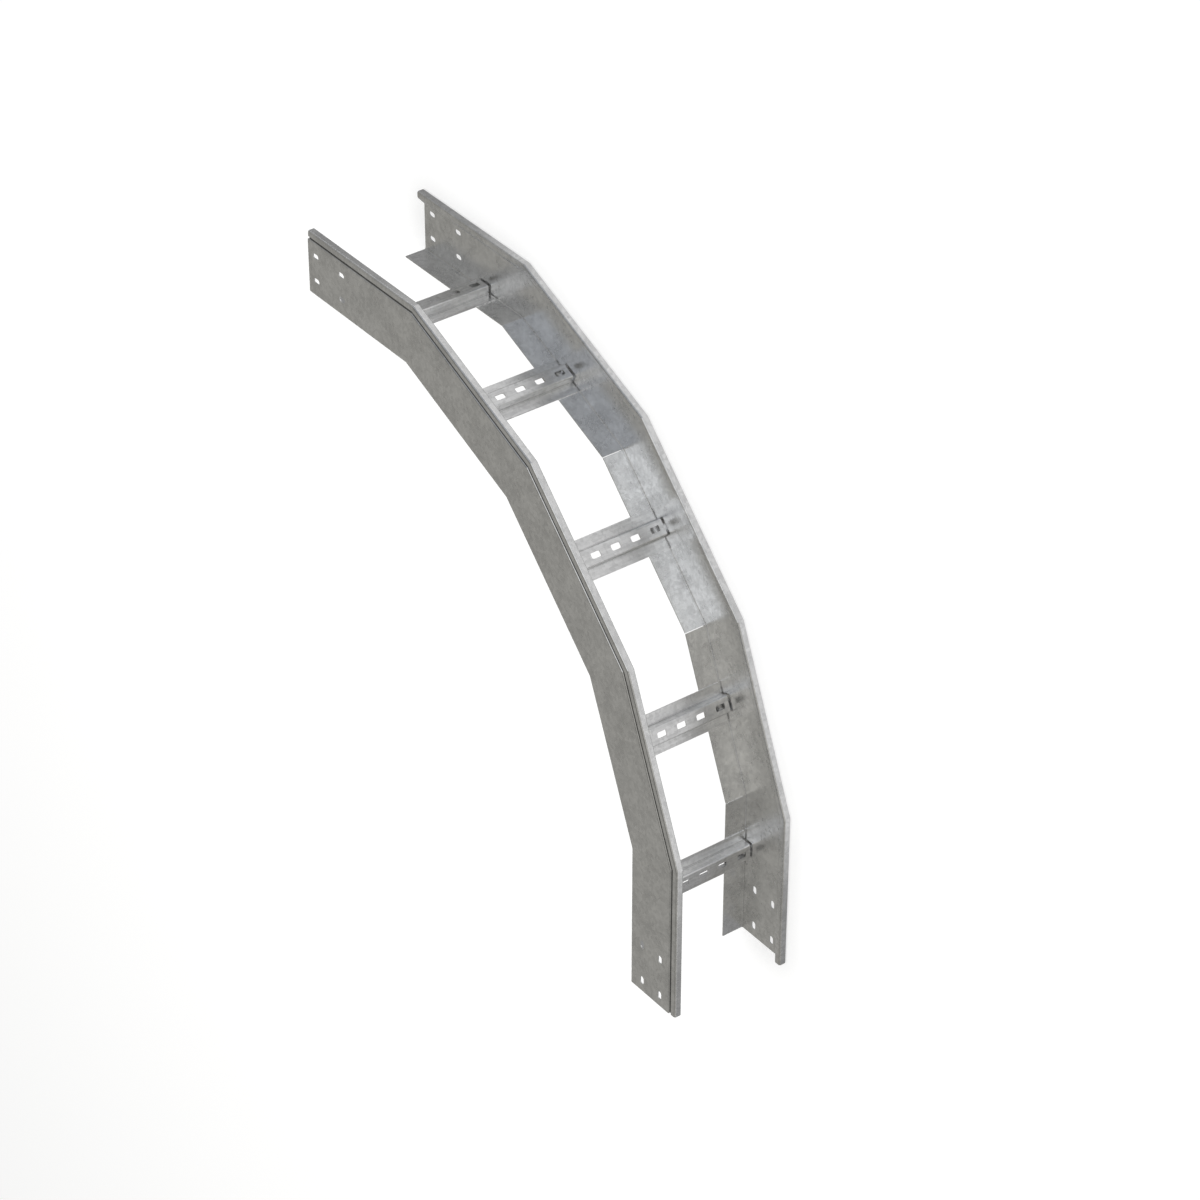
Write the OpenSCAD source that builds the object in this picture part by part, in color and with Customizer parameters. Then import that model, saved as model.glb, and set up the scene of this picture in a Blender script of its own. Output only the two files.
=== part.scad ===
// Cable ladder bend: turns a cable run through a quarter circle in the vertical plane.
// Each side rail is five lengths of one folded sheet profile, mitred where they meet,
// and five hat-section rungs lie across the flanges of the two rails.
// The cables lie on the rungs, on the outer side of the curve.
// Modelled lying on its side, with the outer face of the right-hand rail on Z = 0.
// The first leg runs along X and the last leg runs along Y. All sizes are in millimetres.

/* [Ladder] */
// Outer width over both side rails
ladder_w = 200; // [150:1:400]
// Height of a side rail, from the flange to the top of the bead
rail_h = 100; // [90:1:150]
// Sheet thickness of the rails and the rungs
sheet_t = 1.5; // [1:0.1:2]

/* [Bend] */
// Length of each end leg, measured along the flange
leg_l = 237; // [200:1:400]
// Length of the second and the fourth straight
slope_l = 253.2; // [180:0.1:400]
// Length of the middle straight
middle_l = 266.2; // [180:0.1:400]

/* [Side rail] */
// Width of the flange that carries the rungs
flange_w = 36.4; // [25:0.1:50]
// Inner radius of the fold between the web and the flange
flange_r = 2; // [1:0.1:3]
// Gap between the flanges of two neighbouring lengths
flange_gap = 1.2; // [0.4:0.1:3]
// Distance below the top of the rail of the line where the two sides of the groove would meet
groove_drop = 12.1; // [11.5:0.1:14]
// Depth of that line behind the outer face
groove_depth = 5.7; // [5:0.1:7]
// Rise of the groove's lower side, from the web to that line
groove_in = 1.4; // [1:0.1:2]
// Rise of the groove's upper side, from that line to the bead
groove_out = 3; // [2.5:0.1:4]
// Inner radius of the folds of the groove
groove_r = 0.5; // [0.3:0.1:0.6]
// Width of the rail across the bead
bead_w = 13; // [11:0.1:18]
// Distance of the bead's outer side behind the web
bead_inset = 1; // [0.5:0.1:2]
// Height of the bead's upright inner side
bead_h = 10; // [8:0.1:12]
// Outer radius of the two corners on top of the bead
bead_r = 3; // [2.5:0.1:4]
// Inner radius of the fold below the bead's inner side
curl_r = 3.5; // [1:0.1:4]
// Drop of the sloping return that closes the bead
return_drop = 10.5; // [9:0.1:14]
// Least gap between the edge of the return and the web
return_gap = 1; // [0.4:0.1:2]

/* [Joint holes] */
// Distance from the end of a rail to the centre of the first hole
hole_end = 19; // [15:0.5:30]
// Spacing of the holes along the rail
hole_pitch = 64; // [40:0.5:90]
// Height of the lower row of holes above the flange side
hole_h = 26.5; // [20:0.5:35]
// Distance between the two rows of holes
hole_rows = 40; // [15:0.5:42]
// Length of a hole, along the rail
hole_l = 13; // [9:0.5:16]
// Width of a hole
hole_w = 7.5; // [5:0.5:8]

/* [Rungs] */
// Distance from the free end of a leg to the middle of its rung
rung_end = 146; // [100:1:160]
// Width of the raised part of a rung
rung_top_w = 26; // [20:0.5:40]
// Width of each foot, outside the raised part
rung_foot_w = 17; // [12:0.5:22]
// Height of a rung above the flange
rung_h = 15; // [10:0.5:30]
// Inner radius of the folds of a rung
rung_r = 1; // [0.5:0.1:1.5]
// Play between the end of a rung and the fold of the rail
rung_play = 0.2; // [0.1:0.1:2]

/* [Rung slots] */
// Length of a slot, across the ladder
slot_l = 15; // [8:0.5:20]
// Width of a slot
slot_w = 8.5; // [5:0.5:12]
// Corner radius of a slot
slot_r = 2; // [1:0.1:2.5]
// Spacing of the slots along a rung
slot_pitch = 33.7; // [25:0.1:50]
// Distance from the right-hand end of a rung to the middle of its first slot
slot_first = 14.7; // [12:0.1:25]
// Least metal left between a slot and the end of a rung
slot_margin = 1.5; // [1:0.5:6]

/* [Hidden] */
$fn = 64;
// Lengths of the five straights, in order along the run
straight_l = [leg_l, slope_l, middle_l, slope_l, leg_l];
straights = len(straight_l);
corner_angle = 90 / (straights - 1);
// Centre-line radii of the folds
flange_mid_r = flange_r + sheet_t / 2;
groove_mid_r = groove_r + sheet_t / 2;
bead_mid_r = bead_r - sheet_t / 2;
curl_mid_r = curl_r + sheet_t / 2;
rung_mid_r = rung_r + sheet_t / 2;
// A rung stops clear of the inner fold between web and flange
rung_z = sheet_t + flange_r + rung_play;
rung_l = ladder_w - 2 * rung_z;
slots = 1 + floor((rung_l - slot_first - slot_l / 2 - slot_margin) / slot_pitch);
// Largest angle of one flat step of a fold
fold_step = 15;
// Margin of a cutting body past the sheet that it cuts
cut = 2;

// One millimetre in the direction of an angle
function way(angle) = [cos(angle), sin(angle)];

// Corner of the run on the flange side: the start of straight i, or the far end when i = straights
function corner(i) = i == 0 ? [0, 0] : corner(i - 1) + straight_l[i - 1] * way((i - 1) * corner_angle);

// Middle of the rung on straight i: the end legs carry theirs at a set distance from the free end,
// and on the other straights the raised part starts at the middle
function rung_at(i) =
    i == 0 ? rung_end :
    i == straights - 1 ? leg_l - rung_end :
    (straight_l[i] + rung_top_w) / 2;

// Heading and turn of a fold path, whose points are [x, y, centre-line radius]
function heading(path, i) = atan2(path[i + 1].y - path[i].y, path[i + 1].x - path[i].x);
function turn_of(path, i) = (heading(path, i) - heading(path, i - 1) + 540) % 360 - 180;

// Middle of the circle that fold i follows: level with the start of the fold, on the side it turns to
function fold_middle(path, i) =
    let (into = heading(path, i - 1), turn = turn_of(path, i))
    [path[i].x, path[i].y]
        - path[i].z * tan(abs(turn) / 2) * way(into)
        + path[i].z * way(into + sign(turn) * 90);

// Points of one face of the sheet at point i of a path: side is 1 for the left face and -1 for the right
function face_points(path, i, side) =
    i == 0 || i == len(path) - 1 ?
        [[path[i].x, path[i].y] + sheet_t / 2 * way(heading(path, max(i - 1, 0)) + side * 90)] :
    let (
        turn = turn_of(path, i),
        from = heading(path, i - 1) - sign(turn) * 90,
        r = path[i].z - side * sign(turn) * sheet_t / 2,
        steps = ceil(abs(turn) / fold_step)
    )
    [for (s = [0 : steps]) fold_middle(path, i) + r * way(from + turn * s / steps)];

// Outline of a folded strip of sheet: out along its left face and back along its right face
function strip_outline(path) = concat(
    [for (i = [0 : len(path) - 1]) each face_points(path, i, 1)],
    let (back = [for (i = [0 : len(path) - 1]) each face_points(path, i, -1)])
        [for (n = [len(back) - 1 : -1 : 0]) back[n]]
);

// Fold path of a side rail: x is the distance behind the outer face, y the height above the flange side
web_x = sheet_t / 2;
bead_top_y = rail_h - sheet_t / 2;
groove_y = rail_h - groove_drop;
rail_path = [
    [flange_w, sheet_t / 2, 0],
    [web_x, sheet_t / 2, flange_mid_r],
    [web_x, groove_y - groove_in, groove_mid_r],
    [groove_depth + sheet_t / 2, groove_y, groove_mid_r],
    [bead_inset + sheet_t / 2, groove_y + groove_out, groove_mid_r],
    [bead_inset + sheet_t / 2, bead_top_y, bead_mid_r],
    [bead_w - sheet_t / 2, bead_top_y, bead_mid_r],
    [bead_w - sheet_t / 2, rail_h - bead_h, curl_mid_r],
    [sheet_t + return_gap + sheet_t / 2, rail_h - bead_h - return_drop, 0]
];

// Place across the ladder of what lies at distance a behind the outer face of one rail
function across(a, left) = left ? ladder_w - a : a;

// Outline of the right-hand or the left-hand rail
function rail_outline(left) = strip_outline([for (p = rail_path) [across(p.x, left), p.y, p.z]]);

// Fold path of a rung: x along the run, y down from the flange side, so that the top is at -y
foot_y = -(sheet_t + sheet_t / 2);
top_y = -(sheet_t + rung_h - sheet_t / 2);
wall_x = (rung_top_w - sheet_t) / 2;
edge_x = rung_top_w / 2 + rung_foot_w;
rung_path = [
    [-edge_x, foot_y, 0],
    [-wall_x, foot_y, rung_mid_r],
    [-wall_x, top_y, rung_mid_r],
    [wall_x, top_y, rung_mid_r],
    [wall_x, foot_y, rung_mid_r],
    [edge_x, foot_y, 0]
];

// Places what follows at the start of straight i: x along it, -y up from the flange side, z across
module on_straight(i) {
    translate(corner(i)) rotate(min(i, straights - 1) * corner_angle) children();
}

// Places what follows at corner i in the same way, but with x square to the mitre plane
module on_mitre(i) {
    translate(corner(i)) rotate((i - 0.5) * corner_angle) children();
}

// Everything past the mitre plane at corner i; side is 1 for the part ahead and -1 for the part behind
module past_mitre(i, side) {
    on_mitre(i)
        translate([side * ladder_w / 2, -rail_h / 2, ladder_w / 2])
            cube([ladder_w, 3 * rail_h, 2 * ladder_w], center = true);
}

// Flat shape of a joint hole, long side along x
module joint_hole() {
    flat = hole_l - hole_w;
    square([flat, hole_w], center = true);
    for (s = [-0.5, 0.5])
        translate([s * flat, 0]) circle(d = hole_w);
}

// The four joint holes at one end of a rail; side is 1 for the first end and -1 for the last
module joint_holes(side) {
    for (along = [hole_end, hole_end + hole_pitch], up = [hole_h, hole_h + hole_rows])
        translate([side * along, -up, 0])
            linear_extrude(sheet_t + 2 * cut, center = true) joint_hole();
}

// What is cut out between two flanges at corner i, from just past the fold to the free edge
module between_flanges(i, left) {
    cut_start = sheet_t + 1.5 * flange_r;
    cut_end = flange_w + cut;
    on_mitre(i)
        translate([0, 0, across((cut_start + cut_end) / 2, left)])
            cube([flange_gap, 2 * (sheet_t + cut), cut_end - cut_start], center = true);
}

// The length of a side rail that lies on straight i: extruded too long, then cut at its mitres
module rail_length(i, left) {
    spare = rail_h * tan(corner_angle / 2) + cut;
    start = i == 0 ? 0 : -spare;
    end = straight_l[i] + (i == straights - 1 ? 0 : spare);
    difference() {
        on_straight(i)
            translate([start, 0, 0])
                rotate([180, -90, 0])
                    linear_extrude(end - start) polygon(rail_outline(left));
        if (i > 0) {
            past_mitre(i, -1);
            between_flanges(i, left);
        }
        if (i < straights - 1) {
            past_mitre(i + 1, 1);
            between_flanges(i + 1, left);
        }
        translate([0, 0, across(sheet_t / 2, left)]) {
            if (i == 0) on_straight(0) joint_holes(1);
            if (i == straights - 1) on_straight(straights) joint_holes(-1);
        }
    }
}

// Flat shape of a rung slot, with rounded corners
module rung_slot() {
    square([slot_w - 2 * slot_r, slot_l], center = true);
    square([slot_w, slot_l - 2 * slot_r], center = true);
    for (x = [-0.5, 0.5], y = [-0.5, 0.5])
        translate([x * (slot_w - 2 * slot_r), y * (slot_l - 2 * slot_r)]) circle(r = slot_r);
}

// The rung on straight i
module rung(i) {
    on_straight(i)
        translate([rung_at(i), 0, rung_z])
            difference() {
                linear_extrude(rung_l) polygon(strip_outline(rung_path));
                translate([0, cut - rung_h, 0])
                    rotate([90, 0, 0])
                        linear_extrude(sheet_t + 2 * cut)
                            for (n = [0 : slots - 1])
                                translate([0, slot_first + n * slot_pitch]) rung_slot();
            }
}

// Moves the finished bend so that the middle of its footprint is at the origin
module centred() {
    far = corner(straights);
    translate([-(far.x + rail_h) / 2, -(far.y - rail_h) / 2, 0]) children();
}

module right_rail_1() color("silver") centred() rail_length(0, false);
module right_rail_2() color("silver") centred() rail_length(1, false);
module right_rail_3() color("silver") centred() rail_length(2, false);
module right_rail_4() color("silver") centred() rail_length(3, false);
module right_rail_5() color("silver") centred() rail_length(4, false);
module left_rail_1() color("silver") centred() rail_length(0, true);
module left_rail_2() color("silver") centred() rail_length(1, true);
module left_rail_3() color("silver") centred() rail_length(2, true);
module left_rail_4() color("silver") centred() rail_length(3, true);
module left_rail_5() color("silver") centred() rail_length(4, true);
module rung_1() color("lightgray") centred() rung(0);
module rung_2() color("lightgray") centred() rung(1);
module rung_3() color("lightgray") centred() rung(2);
module rung_4() color("lightgray") centred() rung(3);
module rung_5() color("lightgray") centred() rung(4);

right_rail_1();
right_rail_2();
right_rail_3();
right_rail_4();
right_rail_5();
left_rail_1();
left_rail_2();
left_rail_3();
left_rail_4();
left_rail_5();
rung_1();
rung_2();
rung_3();
rung_4();
rung_5();
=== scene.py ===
# %% [markdown]
# # A cable ladder bend in galvanised steel
# The object is one bend of a cable ladder. Each of its two side rails is five mitred lengths of
# folded sheet, and five slotted rungs lie between the rails. All the shapes come finished from
# the CAD model. This lesson is about the rest: zinc that looks like zinc, soft light, and the
# photograph's camera. The bend lies on its side, on the outer face of one rail.

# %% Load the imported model
import math

import bpy
from mathutils import Matrix, Vector

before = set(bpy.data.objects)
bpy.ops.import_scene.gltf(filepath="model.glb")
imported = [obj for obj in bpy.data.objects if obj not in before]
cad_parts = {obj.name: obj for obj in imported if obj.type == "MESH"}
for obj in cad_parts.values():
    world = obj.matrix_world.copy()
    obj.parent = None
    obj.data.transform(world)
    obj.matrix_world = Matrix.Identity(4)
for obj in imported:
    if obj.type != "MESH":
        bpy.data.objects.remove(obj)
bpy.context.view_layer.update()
rails = [f"{side}_rail_{i}" for side in ("right", "left") for i in range(1, 6)]
rungs = [f"rung_{i}" for i in range(1, 6)]

# %% [markdown]
# ## Colours and nodes
# Colours are picked as sRGB hex values, as a paint chart gives them, but shaders add light up
# in linear values. One function turns the first into the second. Another adds a shader node,
# sets its values and makes its links, so that each material below reads as a list of what goes
# into it. A third empties a node tree, so that nothing ready-made is left in it.

# %% Three helpers
def linear(hex_colour):
    """A colour such as '#8c8b87' as linear RGBA."""
    channels = [int(hex_colour[i:i + 2], 16) / 255 for i in (1, 3, 5)]
    return [c / 12.92 if c <= 0.04045 else ((c + 0.055) / 1.055) ** 2.4 for c in channels] + [1.0]


def add(tree, kind, links=None, inputs=None, **settings):
    """Adds a node: settings are its properties, inputs its values, links what feeds its sockets."""
    node = tree.nodes.new(kind)
    for name, value in settings.items():
        setattr(node, name, value)
    for name, value in (inputs or {}).items():
        node.inputs[name].default_value = value
    for name, socket in (links or {}).items():
        tree.links.new(socket, node.inputs[name])
    return node


def empty_tree(owner):
    """The node tree of a material or a world, with nothing in it."""
    owner.use_nodes = True
    owner.node_tree.nodes.clear()
    return owner.node_tree


MM = 0.001
# A Mix node has several sockets of the same name. These are the numbers of its colour sockets.
MIX_FACTOR, MIX_A, MIX_B, MIX_RESULT = 0, 6, 7, 2
WHITE = linear("#ffffff")
print("a middle grey in linear values", [round(c, 3) for c in linear("#8c8b87")])

# %% [markdown]
# ## Galvanised sheet
# The rails and rungs are steel sheet with a coat of zinc. Zinc freezes on steel in crystals, the
# spangle, a few millimetres across, and each one reflects a little more or less light than the
# next. Over them lie soft clouds, where the coat is thicker or thinner. On the rungs the clouds
# are drawn out into streaks along the length. In the folds the grey is painted darker, as painted
# shade, which gives the thin dark line between web and flange.
#
# A flat grey would look like plastic, and a smooth mirror like chrome. So the base is a bare,
# pale metal, a little rough, and spangle and clouds change its colour and its roughness only
# slightly. Most of the grey that the eye sees is the room, mirrored in the zinc.

# %% Sizes and greys of the zinc
SPANGLE_MM = 4.5
GRAIN_MM = 2.0  # really about 0.2 mm: drawn coarser, so that it shows in the picture
GRAIN_DEPTH_MM = 0.1
FOLD_SHADE_MM = 4.0  # how far from a fold its painted shade reaches
ZINC_BRIGHT, ZINC_DULL, ZINC_FOLD_SHADE = "#fcfcfc", "#e4e4e4", "#b0b0b0"
SPANGLE_SHARE = 0.3  # what the crystals count for beside the clouds
SPOT_RANGE = {"From Min": 0.45, "From Max": 0.85}  # from the dullest spot to the brightest
FOLD_SHADE_RANGE = {"From Min": 0.45, "From Max": 0.85}  # from inside a fold to the flat sheet
ROUGHNESS_SPREAD = 0.03
print("spangle", SPANGLE_MM, "mm, greys", ZINC_DULL, "to", ZINC_BRIGHT)

# %% The zinc material
def zinc_spots(tree, place, drawn, cloud_mm):
    """How bright each spot is: crystals of the spangle on top of the clouds."""
    spangle = add(tree, "ShaderNodeTexVoronoi", {"Vector": place}, {"Scale": 1 / (SPANGLE_MM * MM)})
    crystal = add(tree, "ShaderNodeSeparateColor", {"Color": spangle.outputs["Color"]})
    cloud = add(tree, "ShaderNodeTexNoise", {"Vector": drawn},
                {"Scale": 1 / (cloud_mm * MM), "Detail": 5.0, "Roughness": 0.6})
    both = add(tree, "ShaderNodeMath", {0: crystal.outputs["Red"], 2: cloud.outputs["Fac"]},
               {1: SPANGLE_SHARE}, operation="MULTIPLY_ADD")
    return both.outputs[0]


def zinc_colour(tree, spots):
    """The grey of each spot, with painted shade: darker in a fold, where more of the same sheet
    lies close by.
    """
    tone = add(tree, "ShaderNodeMapRange", {"Value": spots}, SPOT_RANGE)
    grey = add(tree, "ShaderNodeMix", {MIX_FACTOR: tone.outputs["Result"]},
               {MIX_A: linear(ZINC_DULL), MIX_B: linear(ZINC_BRIGHT)}, data_type="RGBA")
    # Painted shade: the ambient occlusion of the same sheet darkens the grey in the folds.
    fold_occlusion = add(tree, "ShaderNodeAmbientOcclusion", None, {"Distance": FOLD_SHADE_MM * MM},
              samples=8, only_local=True)
    fold_shade_mask = add(tree, "ShaderNodeMapRange", {"Value": fold_occlusion.outputs["AO"]}, FOLD_SHADE_RANGE)
    coat_with_fold_shade = add(tree, "ShaderNodeMix",
               {MIX_FACTOR: fold_shade_mask.outputs["Result"], MIX_B: grey.outputs[MIX_RESULT]},
               {MIX_A: linear(ZINC_FOLD_SHADE)}, data_type="RGBA")
    return coat_with_fold_shade.outputs[MIX_RESULT]


def galvanised_sheet(name, cloud_mm, along, roughness):
    """Zinc-coated sheet. Its clouds are cloud_mm wide, and along times as long on Z."""
    material = bpy.data.materials.new(name)
    tree = empty_tree(material)
    place = add(tree, "ShaderNodeTexCoord").outputs["Object"]
    drawn = add(tree, "ShaderNodeVectorMath", {0: place}, {1: (1, 1, 1 / along)},
                operation="MULTIPLY").outputs["Vector"]
    spots = zinc_spots(tree, place, drawn, cloud_mm)
    # A bright spot is also a little smoother than a dull one.
    gloss = add(tree, "ShaderNodeMapRange", {"Value": spots},
                {**SPOT_RANGE, "To Min": roughness + ROUGHNESS_SPREAD,
                 "To Max": roughness - ROUGHNESS_SPREAD})
    grain = add(tree, "ShaderNodeTexNoise", {"Vector": drawn},
                {"Scale": 1 / (GRAIN_MM * MM), "Detail": 2.0, "Roughness": 0.6})
    skin = add(tree, "ShaderNodeBump", {"Height": grain.outputs["Fac"]},
               {"Strength": 0.02, "Distance": GRAIN_DEPTH_MM * MM})
    shader = add(tree, "ShaderNodeBsdfPrincipled",
                 {"Base Color": zinc_colour(tree, spots), "Roughness": gloss.outputs["Result"],
                  "Normal": skin.outputs["Normal"]},
                 {"Metallic": 1.0})
    add(tree, "ShaderNodeOutputMaterial", {"Surface": shader.outputs["BSDF"]})
    return material


rail_zinc = galvanised_sheet("galvanised_sheet_rail", cloud_mm=40.0, along=1, roughness=0.25)
rung_zinc = galvanised_sheet("galvanised_sheet_rung", cloud_mm=4.0, along=15, roughness=0.33)
print("made", rail_zinc.name, "and", rung_zinc.name)

# %% Dress the pieces
for names, material in ((rails, rail_zinc), (rungs, rung_zinc)):
    for name in names:
        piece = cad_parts[name]
        piece.data.materials.clear()
        piece.data.materials.append(material)
print("dressed", len(rails) + len(rungs), "pieces")

# %% [markdown]
# ## Floor
# The bend lies on a wide sheet of matt studio paper, which gives the eye an even white with no
# edge, and a faint shadow to rest the part on. More light would make grey paper white, but it
# would fall on the part too. So the paper glows a little to everything that looks at it: to the
# camera, to mirrors and through glass. To all other light it is plain grey paper.

# %% The floor
PAPER_GREY = "#b0b0b0"
PAPER_GLOW = 0.66  # with the light on the paper this comes to white, less where the shadow is
FLOOR_HALF = 12.0

floor_paper = bpy.data.materials.new("matt_studio_paper")
tree = empty_tree(floor_paper)
ray = add(tree, "ShaderNodeLightPath").outputs
looked_at = add(tree, "ShaderNodeMath", {0: ray["Is Camera Ray"], 1: ray["Is Glossy Ray"]},
                operation="MAXIMUM")
looked_at = add(tree, "ShaderNodeMath", {0: looked_at.outputs[0], 1: ray["Is Transmission Ray"]},
                operation="MAXIMUM")
matt = add(tree, "ShaderNodeBsdfDiffuse", None, {"Color": linear(PAPER_GREY)})
glow = add(tree, "ShaderNodeEmission", None, {"Color": WHITE, "Strength": PAPER_GLOW})
bright = add(tree, "ShaderNodeAddShader", {0: matt.outputs[0], 1: glow.outputs[0]})
paper = add(tree, "ShaderNodeMixShader",
            {0: looked_at.outputs[0], 1: matt.outputs[0], 2: bright.outputs[0]})
add(tree, "ShaderNodeOutputMaterial", {"Surface": paper.outputs[0]})


def sheet(name, half, height, material):
    """A square sheet that lies flat around the middle of the part."""
    corners = [(x * half, y * half, height) for x, y in ((-1, -1), (1, -1), (1, 1), (-1, 1))]
    mesh = bpy.data.meshes.new(name)
    mesh.from_pydata(corners, [], [(0, 1, 2, 3)])
    mesh.materials.append(material)
    obj = bpy.data.objects.new(name, mesh)
    bpy.context.collection.objects.link(obj)
    return obj


floor = sheet("floor", FLOOR_HALF, 0.0, floor_paper)
print("floor of", floor_paper.name, round(2 * FLOOR_HALF), "m wide")

# %% [markdown]
# ## Grey card
# Metal on white paper mirrors the paper, and its upper edges vanish into the background. In the
# photograph they are grey. A photographer lays grey card around such a part and keeps it out of
# the picture. A greyer floor would do the same, but then the background wouldn't be white.
#
# So a card lies just above the floor, and only the metal sees it. It is paler in front of the
# bend, where beads and rung tops mirror it, than behind. Near the bend the metal therefore shows
# the card and not the white floor. Without this cell it shows the floor.

# %% The grey card
FRONT = (0.71, -0.71, 0.0)  # the way from the middle of the part out over its convex side
CARD_HALF = 1.5
CARD_LIFT_MM = 0.4
# How far to the front the card starts and ends its change of grey, in metres, and its two greys.
CARD_GREYS = {"From Min": 0.05, "From Max": 0.22, "To Min": 0.27, "To Max": 0.62}

card_grey = bpy.data.materials.new("grey_card")
tree = empty_tree(card_grey)
place = add(tree, "ShaderNodeNewGeometry").outputs["Position"]
forward = add(tree, "ShaderNodeVectorMath", {0: place}, {1: FRONT}, operation="DOT_PRODUCT")
grade = add(tree, "ShaderNodeMapRange", {"Value": forward.outputs["Value"]}, CARD_GREYS,
            interpolation_type="SMOOTHSTEP")
tone = add(tree, "ShaderNodeEmission", {"Strength": grade.outputs["Result"]}, {"Color": WHITE})
add(tree, "ShaderNodeOutputMaterial", {"Surface": tone.outputs[0]})

card = sheet("grey_card", CARD_HALF, CARD_LIFT_MM * MM, card_grey)
card.visible_camera = False
card.visible_diffuse = False
card.visible_transmission = False
card.visible_shadow = False
print("card", round(2 * CARD_HALF), "m wide, seen by the metal only")

# %% [markdown]
# ## Light
# Bare metal shows its surroundings, so most of its light is the room that it mirrors. The room
# has one soft bright area, above the part and in front of its middle lengths: they shine, while
# the legs, which turn away from it, stay grey. The ceiling is darker than the walls, so that a
# fold shows a dark line beside a bright one. One side is a little warm and the other cool, as in
# a room with a window. A picture of a real room would do too, but a few soft areas are easier to
# read and to change.
#
# A large panel overhead lights the paper at a plain level and gives the soft shadow. The metal
# doesn't mirror it, because the bright area of the room is there for that.

# %% The room
WARM, COOL = "#fffdf6", "#f0f6ff"
WINDOW_SIDE = {"From Min": 0.3, "From Max": 0.9}  # along X, from the warm side to the cool one
WALL_TO_CEILING = {"From Min": 0.6, "From Max": 0.9, "To Min": 0.30, "To Max": 0.14}
BRIGHT_AREA = (0.50, -0.48, 0.72)
BRIGHT_AREA_EDGE = {"From Min": 0.1, "From Max": 1.0}
BRIGHT_AREA_FALL = 6  # the higher, the narrower
BRIGHT_AREA_LEVEL = 0.70

world = bpy.data.worlds.new("studio_room")
bpy.context.scene.world = world
tree = empty_tree(world)
way = add(tree, "ShaderNodeTexCoord").outputs["Generated"]
sides = add(tree, "ShaderNodeSeparateXYZ", {"Vector": way}).outputs
window = add(tree, "ShaderNodeMapRange", {"Value": sides["X"]}, WINDOW_SIDE)
tint = add(tree, "ShaderNodeMix", {MIX_FACTOR: window.outputs["Result"]},
           {MIX_A: linear(WARM), MIX_B: linear(COOL)}, data_type="RGBA").outputs[MIX_RESULT]
height = add(tree, "ShaderNodeMapRange", {"Value": sides["Z"]}, WALL_TO_CEILING)
walls = add(tree, "ShaderNodeBackground", {"Color": tint, "Strength": height.outputs["Result"]})

facing = add(tree, "ShaderNodeVectorMath", {0: way}, {1: BRIGHT_AREA}, operation="DOT_PRODUCT")
near = add(tree, "ShaderNodeMapRange", {"Value": facing.outputs["Value"]}, BRIGHT_AREA_EDGE)
soft = add(tree, "ShaderNodeMath", {0: near.outputs["Result"]}, {1: BRIGHT_AREA_FALL},
           operation="POWER")
level = add(tree, "ShaderNodeMath", {0: soft.outputs[0]}, {1: BRIGHT_AREA_LEVEL},
            operation="MULTIPLY")
area = add(tree, "ShaderNodeBackground", {"Color": tint, "Strength": level.outputs[0]})
room = add(tree, "ShaderNodeAddShader", {0: walls.outputs[0], 1: area.outputs[0]})
add(tree, "ShaderNodeOutputWorld", {"Surface": room.outputs[0]})
print("room", world.name, "with one bright area toward", BRIGHT_AREA)

# %% The overhead panel
PANEL_PLACE = Vector((0.2, -0.2, 5.0))
PANEL_WIDTH = 2.5
PANEL_WATTS = 170

lamp = bpy.data.lights.new("top_panel", "AREA")
lamp.shape = "SQUARE"
lamp.size = PANEL_WIDTH
lamp.energy = PANEL_WATTS
panel = bpy.data.objects.new("top_panel", lamp)
panel.location = PANEL_PLACE
panel.rotation_euler = (-PANEL_PLACE).to_track_quat("-Z", "Y").to_euler()
panel.visible_glossy = False
bpy.context.collection.objects.link(panel)
print("panel", PANEL_WIDTH, "m wide,", PANEL_WATTS, "W")

# %% [markdown]
# ## Camera
# The camera stands where the photograph was taken from: its place and lens were worked out from
# the straight edges of the rails. In the picture the first leg hangs down, so the picture's up
# is close to the part's X axis, and the camera is turned on its side to match.

# %% The camera
camera_place = Vector((3.2859, -3.7783, 2.8414))
look = Vector((-0.57616, 0.65391, -0.49035)).normalized()
up = Vector((0.81733, 0.46193, -0.34437))
right = look.cross(up).normalized()
up = right.cross(look)
lens = bpy.data.cameras.new("camera")
lens.sensor_width = 36.0
lens.lens = 122.1
lens.clip_end = 100.0
camera = bpy.data.objects.new("camera", lens)
turn = Matrix((right, up, -look)).transposed().to_4x4()
camera.matrix_world = Matrix.Translation(camera_place) @ turn
bpy.context.collection.objects.link(camera)
bpy.context.scene.camera = camera
bpy.context.scene.view_settings.view_transform = "Standard"
print("field of view", round(math.degrees(lens.angle), 2), "degrees")
